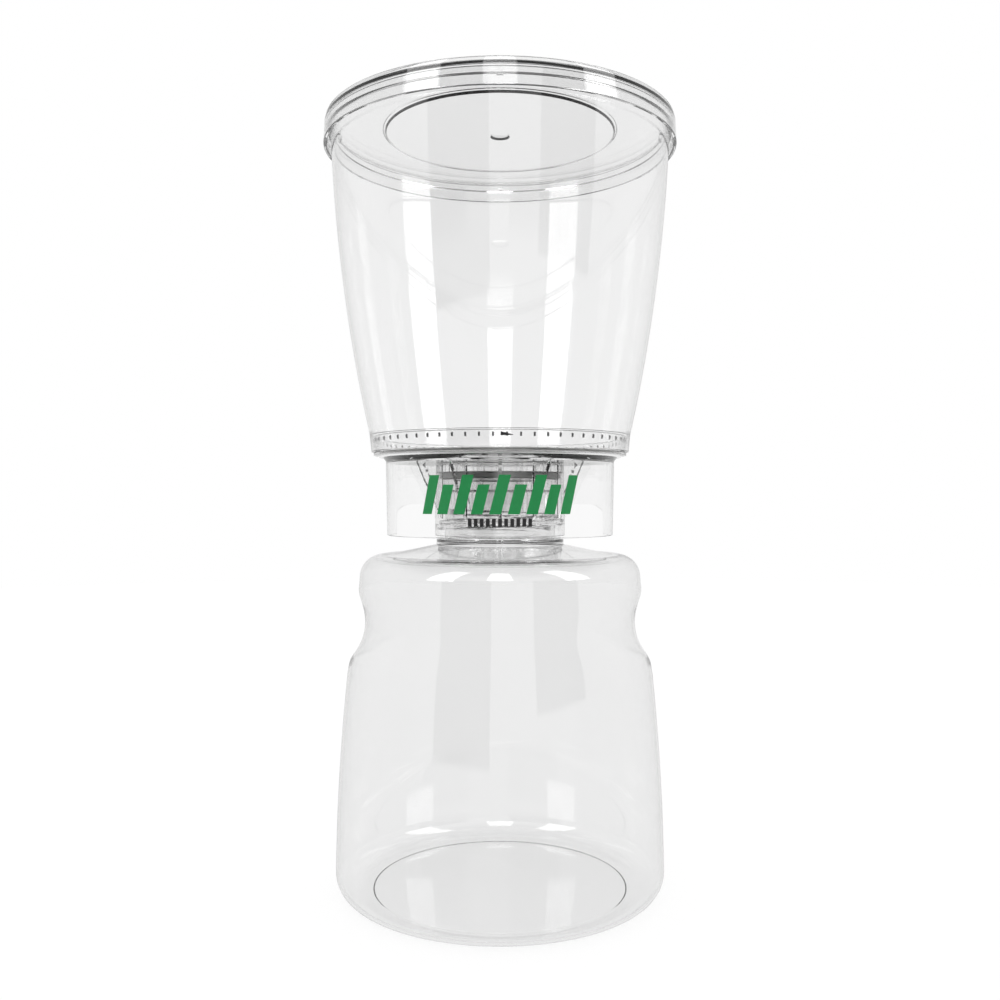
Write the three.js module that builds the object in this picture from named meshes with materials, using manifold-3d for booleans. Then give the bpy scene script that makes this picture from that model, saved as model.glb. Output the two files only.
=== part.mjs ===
// Vacuum filtration unit: a funnel with a press-on lid, bonded to a filter base that
// screws onto the neck of a receiver bottle.
// Millimetres, +Z up. The origin is on the unit's axis, in the plane the bottle stands on.
// -Y is the front, where the skirt is whole; the hose barb leaves at the back, along +Y.
import * as THREE from 'three';
import { mergeVertices } from 'three/addons/utils/BufferGeometryUtils.js';
import Module from 'manifold-3d';

const wasm = await Module();
wasm.setup();

// ---------------------------------------------------------------- driving dimensions
const roundSteps = 48;             // facets round every turned piece
const fit = 0.3;                   // clearance between pieces that touch
const edgeBreak = 0.4;             // broken edges
const overlap = 0.3;               // how far shapes that are joined run into each other
const past = 1;                    // how far a cutter runs past what it cuts

// receiver bottle
const bottleWall = 1.0;
const baseContactRadius = 51.4;    // outer edge of the ring it stands on
const baseRingWidth = 5.4;         // width of that ring
const pushUpWidth = 0.4;           // slope from the ring up to the raised bottom
const pushUpHeight = 0.35;
const bottomDome = 1.5;            // extra rise of the bottom at the centre
const baseCorner = 8;              // radius of the bottom corner
const bottleFoot = 10;             // height where the side wall starts
const bottleTopRadius = 51;        // side wall where the shoulder starts
const bottleTopHeight = 113.4;
const bottleBelly = 770;           // radius of the side wall's slight curve
const shoulderCorner = 8;
const shoulderFlat = 3;            // flat ring inside the shoulder corner
const shoulderRise = 3.55;         // rise of the cone from that ring to the neck

// finger grips, one pressed into each side
const gripDepth = 4.1;
const gripHeight = 97.5;           // level of the deepest line
const gripRadius = 18.6;           // radius of the groove, seen from the front
const gripSweep = 55;              // degrees to each side where the groove runs out

// neck, with a right-hand thread
const neckRadius = 20.2;
const neckBore = 18.7;
const neckBeadRadius = 23.2;
const neckBeadHeight = 2.0;
const neckBeadWall = 0.8;
const neckHeight = 23.6;           // from the top of the cone to the rim
const lipRadius = 21.3;
const lipHeight = 4.0;
const lipSlope = 0.5;
const threadCrest = 22.5;
const threadLead = 4;              // rise in one turn
const threadTurns = 1.5;
const threadRise = 9.05;           // from the top of the cone to the middle of the thread
const threadRoot = 2.2;            // width at the neck
const threadTip = 0.9;             // width at the crest
const threadEngage = 1.6;          // collar thread below the neck thread
const collarTurns = 1.25;
const collarRoot = 1.6;            // width of the collar's thread at the wall
const collarTip = 0.6;
const threadSteps = 24;            // facets in one turn of a thread

// neck gasket
const gasketInner = 18.9;
const gasketOuter = 22.3;
const gasketThickness = 2.0;

// filter base
const collarBore = 22.85;
const collarWall = 0.85;
const collarReach = 22.9;          // from the sealing land down to the collar's lower edge
const bossRadius = 17.2;           // ring that centres the base in the bottle's mouth
const bossWall = 1.6;
const bossReach = 3.3;             // below the sealing land
const landRise = 3.3;              // from the sealing land up to the underside of the plate
const spoutBore = 7.2;
const spoutWall = 1.4;
const spoutReach = 18;             // below the underside of the plate
const plateThickness = 3.6;        // at the flange
const plateFall = 0.6;             // fall of the plate's top from the rim to the drain
const plateRecess = 1.7;           // the plate's top below the flange, at the rim
const flangeRadius = 46;
const flangeThickness = 0.9;
const skirtRadius = 41.1;          // outside, at the lower edge
const skirtDraft = 0.5;            // wider at the top than at the lower edge
const skirtWall = 0.9;
const skirtReach = 26.1;           // below the underside of the plate
const skirtLap = 0.8;              // how far the skirt runs up into the plate
const archTop = 11.2;              // top of the rear cut-out above the skirt's lower edge
const archHalfWidth = 39.5;
const archCorner = 4.5;
const gussetCount = 12;
const gussetThickness = 1.2;
const gussetReach = 33.5;          // radius where a gusset meets the plate
const gussetDrop = 20;             // below the plate where it meets the collar
const rimWall = 1.4;
const rimRadius = 46.1;            // outside of the upstanding rim, at its widest
const rimDraft = 0.6;              // narrower at the flange
const rimHeight = 6.1;
const crushRibCount = 64;
const crushRibHeight = 0.35;
const crushRibThickness = 0.6;
const crushRibLength = 1.6;
const crushRibRoot = 0.6;          // depth of a rib inside the rim
const crushRibStop = 0.9;          // end of a rib below the top of the rim

// vacuum port
const portHeight = 2.35;           // axis above the sealing land
const ductRadius = 2.2;
const portBore = 1.3;
const barbStart = 48;              // distance from the unit's axis
const barbRadius = 3.7;
const barbCore = 2.9;
const barbPitch = 4.5;
const barbCount = 3;
const plugLength = 10;
const plugStart = 28;              // distance from the unit's axis

// support grid and membrane
const gridThickness = 1.0;
const gridSlots = 24;
const gridSlotWidth = 1.6;
const gridSlotInner = 11;
const gridRimWidth = 4;
const membraneThickness = 0.35;

// funnel
const funnelWall = 1.0;
const funnelBandWall = 0.65;       // thinned band that laps over the rim
const funnelTopRadius = 61.35;     // outside, under the rim bead
const funnelHeight = 116.3;        // from the flange to the funnel's rim
const funnelBelly = 600;           // radius of the wall's curve
const rimBeadReach = 0.85;         // bead outside the wall, round the mouth
const rimBeadHeight = 2.7;
const beadSlope = 0.6;

// lid
const lidWall = 1.3;
const lidTop = 1.3;                // thickness of the top
const lidSkirtHeight = 6.8;        // inside, from the lower edge to the underside
const lidGap = 0.4;                // clearance to the funnel's rim
const lidDraft = 0.4;
const lidEdge = 0.6;               // broken outer edge of the lid
const stackingRise = 1.0;          // raised ring round the edge, for stacking
const stackingWidth = 1.6;
const panelRadius = 42;
const panelDrop = 0.9;
const panelSlope = 1.2;
const gateRadius = 3.5;
const gateDepth = 0.6;
const gateSlope = 0.5;
const nubCount = 4;
const nubWidth = 2.2;
const nubDepth = 1.4;
const nubHeight = 3.0;

// ---------------------------------------------------------------- levels and radii
const shoulderTop = bottleTopHeight + shoulderCorner;
const coneTop = shoulderTop + shoulderRise;
const neckRim = coneTop + neckHeight;
const threadMiddle = coneTop + threadRise;
const landLevel = neckRim + fit + gasketThickness + fit;
const plateUnder = landLevel + landRise;
const flangeTop = plateUnder + plateThickness;
const plateEdgeTop = flangeTop - plateRecess;
const rimTop = flangeTop + rimHeight;
const rimInner = rimRadius - rimDraft - rimWall;
const collarRadius = collarBore + collarWall;
const collarBottom = landLevel - collarReach;
const skirtBottom = plateUnder - skirtReach;
const skirtTopRadius = skirtRadius + skirtDraft;
const portLevel = landLevel + portHeight;
const barbEnd = barbStart + barbPitch * barbCount;
const gridUnder = plateEdgeTop + fit;
const gridRadius = rimInner - 2 * fit;
const membraneUnder = gridUnder + gridThickness + fit;
const funnelBottom = flangeTop + fit;
const funnelRim = funnelBottom + funnelHeight;
const mouthRadius = funnelTopRadius - funnelWall;
const rimBeadRadius = funnelTopRadius + rimBeadReach;
const lidUnder = funnelRim + lidGap;
const lidInner = rimBeadRadius + lidGap;
const lidOuter = lidInner + lidWall;
const lidBottom = lidUnder - lidSkirtHeight;

// ---------------------------------------------------------------- helpers
const radians = THREE.MathUtils.degToRad;

// Points of an arc in a (radius, height) section; angles in degrees from the radius axis.
function arc(centreR, centreZ, radius, from, to, steps) {
  const points = [];
  for (let i = 0; i <= steps; i++) {
    const a = radians(from + (to - from) * i / steps);
    points.push([centreR + radius * Math.cos(a), centreZ + radius * Math.sin(a)]);
  }
  return points;
}

// Radius at height z on an arc of radius `belly` that bows outward between two points.
function bowedRadius(low, high, belly, z) {
  const dr = high[0] - low[0];
  const dz = high[1] - low[1];
  const half = Math.hypot(dr, dz) / 2;
  const back = Math.sqrt(belly * belly - half * half) / (2 * half);
  const centreR = (low[0] + high[0]) / 2 - dz * back;
  const centreZ = (low[1] + high[1]) / 2 + dr * back;
  return centreR + Math.sqrt(belly * belly - (z - centreZ) ** 2);
}

// Evenly spaced values, both ends included.
function spaced(from, to, steps) {
  return Array.from({ length: steps + 1 }, (_, i) => from + (to - from) * i / steps);
}

// Points up a bowed wall at the given heights, moved inward by `inset`.
function bowedWall(low, high, belly, inset, heights) {
  return heights.map((z) => [bowedRadius(low, high, belly, z) - inset, z]);
}

// A turned piece: the section runs anticlockwise, closed or from axis to axis.
function turned(section, steps = roundSteps) {
  const points = section.map(([r, z]) => new THREE.Vector2(r, z));
  const geometry = new THREE.LatheGeometry(points, steps);
  geometry.rotateX(Math.PI / 2);
  return geometry;
}

function closed(section) {
  return [...section, section[0]];
}

// A flat plate of a (radius, height) outline, standing on a plane through the axis.
function radialPlate(outline, thickness, angle) {
  const shape = new THREE.Shape(outline.map(([r, z]) => new THREE.Vector2(r, z)));
  const geometry = new THREE.ExtrudeGeometry(shape, { depth: thickness, bevelEnabled: false });
  geometry.translate(0, 0, -thickness / 2);
  geometry.rotateX(Math.PI / 2);
  geometry.rotateZ(radians(angle));
  return geometry;
}

// A turned piece laid along +Y; its section is (radius, distance from the unit's axis).
function turnedAlongY(section, level, steps) {
  const points = section.map(([r, y]) => new THREE.Vector2(r, y));
  const geometry = new THREE.LatheGeometry(points, steps);
  geometry.translate(0, 0, level);
  return geometry;
}

// A helical ridge. Its section is a trapezium from `rootR` (width `root`) to `tipR` (width `tip`);
// the ends run out smoothly. `level` is its middle height, reached at the front (-Y).
function threadRidge(rootR, tipR, root, tip, turns, level) {
  const steps = Math.round(turns * threadSteps);
  const runOut = 3;
  const start = 0.4;
  const positions = [];
  const indices = [];
  for (let i = 0; i <= steps; i++) {
    const turn = turns * (i / steps - 0.5);
    const angle = radians(-90 + 360 * turn);
    const z = level + threadLead * turn;
    const full = Math.min(1, (Math.min(i, steps - i) + start) / runOut);
    const crest = rootR + (tipR - rootR) * full;
    const corners = [[rootR, -root / 2], [crest, -tip / 2], [crest, tip / 2], [rootR, root / 2]];
    for (const [r, dz] of corners) {
      positions.push(r * Math.cos(angle), r * Math.sin(angle), z + dz);
    }
  }
  for (let i = 0; i < steps; i++) {
    for (let k = 0; k < 4; k++) {
      const a = 4 * i + k;
      const b = 4 * i + (k + 1) % 4;
      indices.push(a, b + 4, b, a, a + 4, b + 4);
    }
  }
  const last = 4 * steps;
  indices.push(0, 1, 2, 0, 2, 3, last, last + 2, last + 1, last, last + 3, last + 2);
  const geometry = new THREE.BufferGeometry();
  geometry.setAttribute('position', new THREE.Float32BufferAttribute(positions, 3));
  geometry.setIndex(indices);
  return geometry;
}

// A closed geometry as a solid that can be joined and cut.
function solid(geometry) {
  const bare = geometry.clone();
  bare.deleteAttribute('normal');
  bare.deleteAttribute('uv');
  const merged = mergeVertices(bare, 1e-4);
  const index = merged.index.array;
  const triangles = [];
  for (let i = 0; i < index.length; i += 3) {
    const [a, b, c] = [index[i], index[i + 1], index[i + 2]];
    if (a !== b && b !== c && c !== a) {
      triangles.push(a, b, c);
    }
  }
  const built = new wasm.Manifold(new wasm.Mesh({
    numProp: 3,
    vertProperties: new Float32Array(merged.attributes.position.array),
    triVerts: new Uint32Array(triangles),
  }));
  if (built.volume() >= 0) {
    return built;
  }
  for (let i = 0; i < triangles.length; i += 3) {
    [triangles[i + 1], triangles[i + 2]] = [triangles[i + 2], triangles[i + 1]];
  }
  return new wasm.Manifold(new wasm.Mesh({
    numProp: 3,
    vertProperties: new Float32Array(merged.attributes.position.array),
    triVerts: new Uint32Array(triangles),
  }));
}

function named(name, shape, material) {
  const mesh = shape.getMesh();
  const geometry = new THREE.BufferGeometry();
  geometry.setAttribute('position', new THREE.BufferAttribute(mesh.vertProperties, 3));
  geometry.setIndex(new THREE.BufferAttribute(mesh.triVerts, 1));
  geometry.computeVertexNormals();
  const piece = new THREE.Mesh(geometry, material);
  piece.name = name;
  return piece;
}

// ---------------------------------------------------------------- receiver bottle
const footPoint = [baseContactRadius + baseCorner, bottleFoot];
const shoulderPoint = [bottleTopRadius, bottleTopHeight];

// How far the grips press the wall in at a height and an angle.
function gripPress(z, angle) {
  const wall = bowedRadius(footPoint, shoulderPoint, bottleBelly, gripHeight);
  const deepest = wall - gripDepth;
  const end = radians(gripSweep);
  // In plan the groove's deepest line is a circle, centred past the axis.
  const back = (wall ** 2 - deepest ** 2) / (2 * (deepest - wall * Math.cos(end)));
  const side = Math.abs(Math.cos(angle));
  const rise = gripRadius ** 2 - (z - gripHeight) ** 2;
  if (rise <= 0 || z >= bottleTopHeight || z <= bottleFoot) {
    return 0;
  }
  const groove = deepest + back + gripRadius - Math.sqrt(rise);
  const reach = Math.sqrt(groove ** 2 - back ** 2 * (1 - side ** 2)) - back * side;
  return Math.max(0, bowedRadius(footPoint, shoulderPoint, bottleBelly, z) - reach);
}

function pressGrips(geometry) {
  const p = geometry.attributes.position;
  for (let i = 0; i < p.count; i++) {
    const r = Math.hypot(p.getX(i), p.getY(i));
    if (r > neckBeadRadius + bottleWall) {
      const angle = Math.atan2(p.getY(i), p.getX(i));
      const scale = (r - gripPress(p.getZ(i), angle)) / r;
      p.setXY(i, p.getX(i) * scale, p.getY(i) * scale);
    }
  }
  return geometry;
}

// Heights up the side wall, closer together over the grips.
function wallHeights(coarse, fine) {
  const gripBottom = gripHeight - Math.sqrt(2 * gripRadius * gripDepth);
  const lower = spaced(bottleFoot, gripBottom, coarse);
  return [...lower, ...spaced(gripBottom, bottleTopHeight, fine).slice(1)];
}

function bottleSection() {
  const ringInner = baseContactRadius - baseRingWidth;
  const pushUpRadius = ringInner - pushUpWidth;
  const shoulderR = bottleTopRadius - shoulderCorner;
  const creaseR = shoulderR - shoulderFlat;
  const innerCorner = baseCorner - bottleWall;
  const outer = [
    [0, pushUpHeight + bottomDome],
    [pushUpRadius / 2, pushUpHeight + 0.75 * bottomDome],
    [pushUpRadius, pushUpHeight],
    [ringInner, 0],
    ...arc(baseContactRadius, baseCorner, baseCorner, -90, 0, 5),
    ...bowedWall(footPoint, shoulderPoint, bottleBelly, 0, wallHeights(4, 10)),
    ...arc(shoulderR, bottleTopHeight, shoulderCorner, 0, 90, 5).slice(1),
    [creaseR, shoulderTop],
    [neckBeadRadius, coneTop],
    [neckBeadRadius, coneTop + neckBeadHeight],
    [neckRadius, coneTop + neckBeadHeight + edgeBreak],
    [neckRadius, neckRim - lipHeight - lipSlope],
    [lipRadius, neckRim - lipHeight],
    [lipRadius, neckRim - edgeBreak],
    [lipRadius - edgeBreak, neckRim],
  ];
  const inner = [
    [neckBore, neckRim],
    [neckBore, coneTop + neckBeadHeight - neckBeadWall],
    [neckBeadRadius - neckBeadWall, coneTop + neckBeadHeight - neckBeadWall],
    [neckBeadRadius - neckBeadWall, coneTop - neckBeadWall],
    [creaseR, shoulderTop - bottleWall],
    ...arc(shoulderR, bottleTopHeight, shoulderCorner - bottleWall, 90, 0, 3),
    ...bowedWall(footPoint, shoulderPoint, bottleBelly, bottleWall, wallHeights(3, 9))
      .reverse().slice(1),
    ...arc(baseContactRadius, baseCorner, innerCorner, 0, -90, 3),
    [ringInner, bottleWall],
    [pushUpRadius / 2, pushUpHeight + 0.75 * bottomDome + bottleWall],
    [0, pushUpHeight + bottomDome + bottleWall],
  ];
  return [...outer, ...inner];
}

function receiverBottle() {
  const body = solid(pressGrips(turned(bottleSection())));
  const thread = threadRidge(neckRadius - overlap, threadCrest, threadRoot, threadTip,
    threadTurns, threadMiddle);
  return body.add(solid(thread));
}

function neckGasket() {
  const low = neckRim + fit;
  return solid(turned(closed([
    [gasketInner, low],
    [gasketOuter, low],
    [gasketOuter, low + gasketThickness],
    [gasketInner, low + gasketThickness],
  ])));
}

// ---------------------------------------------------------------- filter base
// Concave sweep from the skirt out to the flange.
function flangeSweep() {
  const run = flangeRadius - edgeBreak - skirtTopRadius;
  const rise = plateThickness - flangeThickness;
  return spaced(0, 90, 5).slice(1).map((a) => [
    skirtTopRadius + run * (1 - Math.cos(radians(a))),
    plateUnder + rise * Math.sin(radians(a)),
  ]);
}

// Spout, boss, sealing land, collar, plate and upstanding rim, as one turned section.
function coreSection() {
  const spoutRadius = spoutBore + spoutWall;
  const spoutTip = plateUnder - spoutReach;
  const bossTip = landLevel - bossReach;
  return closed([
    [spoutBore, spoutTip],
    [spoutRadius, spoutTip],
    [spoutRadius, plateUnder],
    [bossRadius - bossWall, plateUnder],
    [bossRadius - bossWall, bossTip],
    [bossRadius, bossTip],
    [bossRadius, landLevel],
    [collarBore, landLevel],
    [collarBore, collarBottom + edgeBreak],
    [collarBore + edgeBreak, collarBottom],
    [collarRadius, collarBottom],
    [collarRadius, plateUnder],
    [skirtTopRadius - skirtWall / 2, plateUnder],
    ...flangeSweep(),
    [flangeRadius, flangeTop - flangeThickness + edgeBreak],
    [flangeRadius, flangeTop],
    [rimRadius - rimDraft, flangeTop],
    [rimRadius, rimTop - edgeBreak],
    [rimRadius - edgeBreak, rimTop],
    [rimRadius - rimWall + edgeBreak, rimTop],
    [rimRadius - rimWall, rimTop - edgeBreak],
    [rimInner, plateEdgeTop],
    [spoutBore, plateEdgeTop - plateFall],
  ]);
}

// The skirt, with the wide cut-out at the back that makes room for the hose.
function skirt() {
  const top = plateUnder + skirtLap;
  const wall = solid(turned(closed([
    [skirtRadius - skirtWall, skirtBottom + edgeBreak],
    [skirtRadius - skirtWall + edgeBreak, skirtBottom],
    [skirtRadius - edgeBreak, skirtBottom],
    [skirtRadius, skirtBottom + edgeBreak],
    [skirtTopRadius, plateUnder],
    [skirtTopRadius, top],
    [skirtTopRadius - skirtWall, top],
  ])));
  const low = skirtBottom - archTop;
  const high = skirtBottom + archTop;
  const arch = new THREE.Shape();
  arch.moveTo(-archHalfWidth, low);
  arch.lineTo(archHalfWidth, low);
  arch.lineTo(archHalfWidth, high - archCorner);
  arch.absarc(archHalfWidth - archCorner, high - archCorner, archCorner, 0, Math.PI / 2);
  arch.lineTo(archCorner - archHalfWidth, high);
  arch.absarc(archCorner - archHalfWidth, high - archCorner, archCorner, Math.PI / 2, Math.PI);
  arch.lineTo(-archHalfWidth, low);
  const depth = skirtRadius * 2;
  const cutter = new THREE.ExtrudeGeometry(arch, { depth, bevelEnabled: false, curveSegments: 4 });
  cutter.rotateX(Math.PI / 2);
  cutter.translate(0, depth, 0);
  return wall.subtract(solid(cutter));
}

function gusset(angle) {
  const inner = collarRadius - collarWall / 2;
  return solid(radialPlate([
    [inner, plateUnder - gussetDrop],
    [collarRadius, plateUnder - gussetDrop],
    [gussetReach, plateUnder],
    [gussetReach, plateUnder + overlap],
    [inner, plateUnder + overlap],
  ], gussetThickness, angle));
}

function crushRib(angle) {
  const root = rimRadius - rimDraft - crushRibRoot;
  const high = rimTop - crushRibStop;
  const low = high - crushRibLength;
  const face = (z) => rimRadius - rimDraft * (rimTop - z) / rimHeight;
  return solid(radialPlate([
    [root, low],
    [face(low), low],
    [face(low) + crushRibHeight, low + crushRibHeight],
    [face(high) + crushRibHeight, high - crushRibHeight],
    [face(high), high],
    [root, high],
  ], crushRibThickness, angle));
}

// The suction duct under the plate, ending outside the flange in a hose barb.
function suctionArm() {
  const section = [
    [0, bossRadius], [ductRadius, bossRadius], [ductRadius, barbStart], [barbCore, barbStart],
  ];
  for (let i = 0; i < barbCount; i++) {
    section.push([barbRadius, barbStart + i * barbPitch + edgeBreak]);
    section.push([barbCore, barbStart + (i + 1) * barbPitch]);
  }
  section.push([0, barbEnd]);
  return solid(turnedAlongY(section, portLevel, 16));
}

function suctionBore() {
  const from = bossRadius - bossWall - past;
  const to = barbEnd + past;
  const section = [[0, from], [portBore, from], [portBore, to], [0, to]];
  return solid(turnedAlongY(section, portLevel, 12));
}

function filterBase() {
  const thread = threadRidge(collarBore + overlap, neckRadius + 2 * fit, collarRoot, collarTip,
    collarTurns, threadMiddle - threadEngage);
  let base = solid(turned(coreSection())).add(skirt()).add(solid(thread));
  for (let i = 0; i < gussetCount; i++) {
    base = base.add(gusset(-90 + 360 * i / gussetCount));
  }
  for (let i = 0; i < crushRibCount; i++) {
    base = base.add(crushRib(-90 + 360 * (i + 0.5) / crushRibCount));
  }
  return base.add(suctionArm()).subtract(suctionBore());
}

function sideArmPlug() {
  const r = portBore - fit;
  const end = plugStart + plugLength;
  return solid(turnedAlongY([[0, plugStart], [r, plugStart], [r, end], [0, end]], portLevel, 12));
}

// ---------------------------------------------------------------- grid and membrane
function supportGrid() {
  const top = gridUnder + gridThickness;
  let disc = solid(turned([[0, gridUnder], [gridRadius, gridUnder], [gridRadius, top], [0, top]]));
  const outer = gridRadius - gridRimWidth;
  for (let i = 0; i < gridSlots; i++) {
    const slot = new THREE.BoxGeometry(outer - gridSlotInner, gridSlotWidth, 2 * gridThickness);
    slot.translate((outer + gridSlotInner) / 2, 0, gridUnder + gridThickness / 2);
    slot.rotateZ(radians(360 * i / gridSlots));
    disc = disc.subtract(solid(slot));
  }
  return disc;
}

function filterMembrane() {
  const top = membraneUnder + membraneThickness;
  return solid(turned([
    [0, membraneUnder], [gridRadius, membraneUnder], [gridRadius, top], [0, top],
  ]));
}

// ---------------------------------------------------------------- funnel
function funnel() {
  // The band's bore follows the crush ribs at the clearance.
  const bandLowInner = rimRadius - rimDraft + crushRibHeight + fit;
  const bandTopInner = rimRadius + crushRibHeight + fit;
  const bandTop = rimTop + fit;
  const low = [bandTopInner + funnelBandWall, bandTop];
  const high = [funnelTopRadius, funnelRim - rimBeadHeight];
  const inside = bowedWall(low, high, funnelBelly, funnelWall, spaced(low[1], high[1], 6));
  return solid(turned(closed([
    [bandLowInner, funnelBottom],
    [bandLowInner + funnelBandWall, funnelBottom],
    ...bowedWall(low, high, funnelBelly, 0, spaced(low[1], high[1], 8)),
    [rimBeadRadius, high[1] + beadSlope],
    [rimBeadRadius, funnelRim - edgeBreak],
    [rimBeadRadius - edgeBreak, funnelRim],
    [mouthRadius + edgeBreak, funnelRim],
    [mouthRadius, funnelRim - edgeBreak],
    ...inside.reverse(),
    [bandTopInner, bandTop],
  ])));
}

// ---------------------------------------------------------------- lid
function lid() {
  const panelUnder = lidUnder - panelDrop;
  const panelEdge = panelRadius - panelSlope / 2;
  const flatTop = lidUnder + lidTop;
  const ringTop = flatTop + stackingRise;
  const ringOuter = lidOuter - lidDraft - edgeBreak;
  const ringInner = ringOuter - stackingWidth;
  let shape = solid(turned([
    [0, panelUnder + gateDepth],
    [gateRadius - gateSlope, panelUnder + gateDepth],
    [gateRadius, panelUnder],
    [panelEdge, panelUnder],
    [panelEdge + panelSlope, lidUnder],
    [lidInner, lidUnder],
    [lidInner, lidBottom + edgeBreak],
    [lidInner + edgeBreak, lidBottom],
    [lidOuter - edgeBreak, lidBottom],
    [lidOuter, lidBottom + edgeBreak],
    [lidOuter - lidDraft, flatTop - lidEdge],
    [ringOuter, ringTop - edgeBreak],
    [ringOuter - edgeBreak, ringTop],
    [ringInner + edgeBreak, ringTop],
    [ringInner - edgeBreak, flatTop],
    [panelEdge + panelSlope, flatTop],
    [panelEdge, flatTop - panelDrop],
    [0, flatTop - panelDrop],
  ]));
  // Nubs under the top centre the lid in the funnel's mouth.
  const nubOuter = mouthRadius - lidGap;
  for (let i = 0; i < nubCount; i++) {
    const nub = radialPlate([
      [nubOuter - nubDepth, lidUnder - nubHeight + nubDepth],
      [nubOuter - nubDepth / 2, lidUnder - nubHeight],
      [nubOuter, lidUnder - nubHeight + edgeBreak],
      [nubOuter, lidUnder + overlap],
      [nubOuter - nubDepth, lidUnder + overlap],
    ], nubWidth, -90 + 360 * i / nubCount);
    shape = shape.add(solid(nub));
  }
  return shape;
}

// ---------------------------------------------------------------- materials and assembly
function clearPlastic(color) {
  return new THREE.MeshStandardMaterial({
    color, roughness: 0.06, metalness: 0, transparent: true, opacity: 0.35,
  });
}

const bottlePlastic = clearPlastic(0xf1f3f4);
const basePlastic = clearPlastic(0xe9ecee);
const gridPlastic = new THREE.MeshStandardMaterial({ color: 0xf0f0ee, roughness: 0.6 });
const funnelPlastic = clearPlastic(0xf2f4f5);
const lidPlastic = clearPlastic(0xf3f5f6);
const gasketFoam = new THREE.MeshStandardMaterial({ color: 0xd9dcdc, roughness: 0.7 });
const membranePes = new THREE.MeshStandardMaterial({ color: 0xf7f7f4, roughness: 0.9 });
const plugFibre = new THREE.MeshStandardMaterial({ color: 0xf5f5f2, roughness: 0.95 });

const unit = new THREE.Group();
unit.add(
  named('receiver_bottle', receiverBottle(), bottlePlastic),
  named('neck_gasket', neckGasket(), gasketFoam),
  named('filter_base', filterBase(), basePlastic),
  named('side_arm_plug', sideArmPlug(), plugFibre),
  named('support_grid', supportGrid(), gridPlastic),
  named('filter_membrane', filterMembrane(), membranePes),
  named('funnel', funnel(), funnelPlastic),
  named('lid', lid(), lidPlastic),
);

export default unit;
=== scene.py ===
"""Looks of a vacuum filtration unit in clear plastic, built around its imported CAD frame.

Sections are in millimetres as (radius, height) points and become metres in build(). The unit's
axis is Z; -Y is the front, where the skirt is whole and printed, and the hose barb is at the back.
"""

import math

import bmesh
import bpy
import numpy as np
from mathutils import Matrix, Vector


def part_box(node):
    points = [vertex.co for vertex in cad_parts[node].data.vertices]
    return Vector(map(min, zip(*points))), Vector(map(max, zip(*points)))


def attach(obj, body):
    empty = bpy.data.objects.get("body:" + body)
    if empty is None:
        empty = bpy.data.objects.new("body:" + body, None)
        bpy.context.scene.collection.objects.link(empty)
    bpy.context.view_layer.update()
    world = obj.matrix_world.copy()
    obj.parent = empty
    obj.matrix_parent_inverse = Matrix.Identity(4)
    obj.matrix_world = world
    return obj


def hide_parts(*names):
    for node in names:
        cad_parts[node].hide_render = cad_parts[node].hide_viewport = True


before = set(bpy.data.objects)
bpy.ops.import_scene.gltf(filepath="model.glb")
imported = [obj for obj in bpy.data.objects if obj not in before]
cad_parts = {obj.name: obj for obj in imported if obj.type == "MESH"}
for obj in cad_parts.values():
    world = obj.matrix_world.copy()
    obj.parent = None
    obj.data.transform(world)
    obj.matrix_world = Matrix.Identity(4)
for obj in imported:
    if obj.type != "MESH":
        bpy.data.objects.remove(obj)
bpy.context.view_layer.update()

# ------------------------------------------------------------------ sizes, in millimetres
METRE = 0.001
ROUND = 192                # facets round a turned piece


def level(node, end):
    """Lowest (0) or highest (1) level of a CAD node."""
    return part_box(node)[end].z / METRE


FIT = 0.3
EDGE = 0.35                # rounding of moulded edges
FINE_EDGE = 0.3
CUT_MARGIN = 1.0           # how far a cut runs past the surface it goes through
CRISP = 32.0               # edges sharper than this many degrees stay sharp

# receiver bottle
BOTTLE_WALL = 1.0
CONTACT_RADIUS = 51.4      # outer edge of the ring the bottle stands on
RING_WIDTH = 5.4
PUSH_UP_WIDTH = 0.4
PUSH_UP = 0.35
DOME = 1.5
CORNER = 8.0               # bottom corner and shoulder corner
FOOT = (59.4, 10.0)        # lower end of the side wall
SHOULDER = (51.0, 113.4)   # upper end of the side wall
BELLY = 770.0
SHOULDER_FLAT = 3.0
SHOULDER_RISE = 3.55
GRIP_DEPTH = 4.1
GRIP_HEIGHT = 97.5
GRIP_RADIUS = 18.6
GRIP_SWEEP = 55.0
GRIP_BLEND = 0.7
NECK_RADIUS = 20.2
NECK_BORE = 18.7
BEAD_RADIUS = 23.2
BEAD_HEIGHT = 2.0
BEAD_WALL = 0.8
BEAD_SLOPE = 0.3
LIP_RADIUS = 21.3
LIP_HEIGHT = 4.0
LIP_SLOPE = 0.5
THREAD_CREST = 22.5
THREAD_LEAD = 4.0
THREAD_TURNS = 1.5
THREAD_RISE = 9.05         # middle of the thread above the cone
THREAD_ROOT = 2.2
THREAD_TIP = 0.9
THREAD_RUN_OUT = 1 / 12    # share of a turn in which a thread's end fades away
NECK_MARGIN = 0.4          # plain neck left above the bead and under the lip

# neck gasket
GASKET_INNER = 18.9
GASKET_OUTER = 22.3
GASKET_EDGE = 0.5

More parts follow.
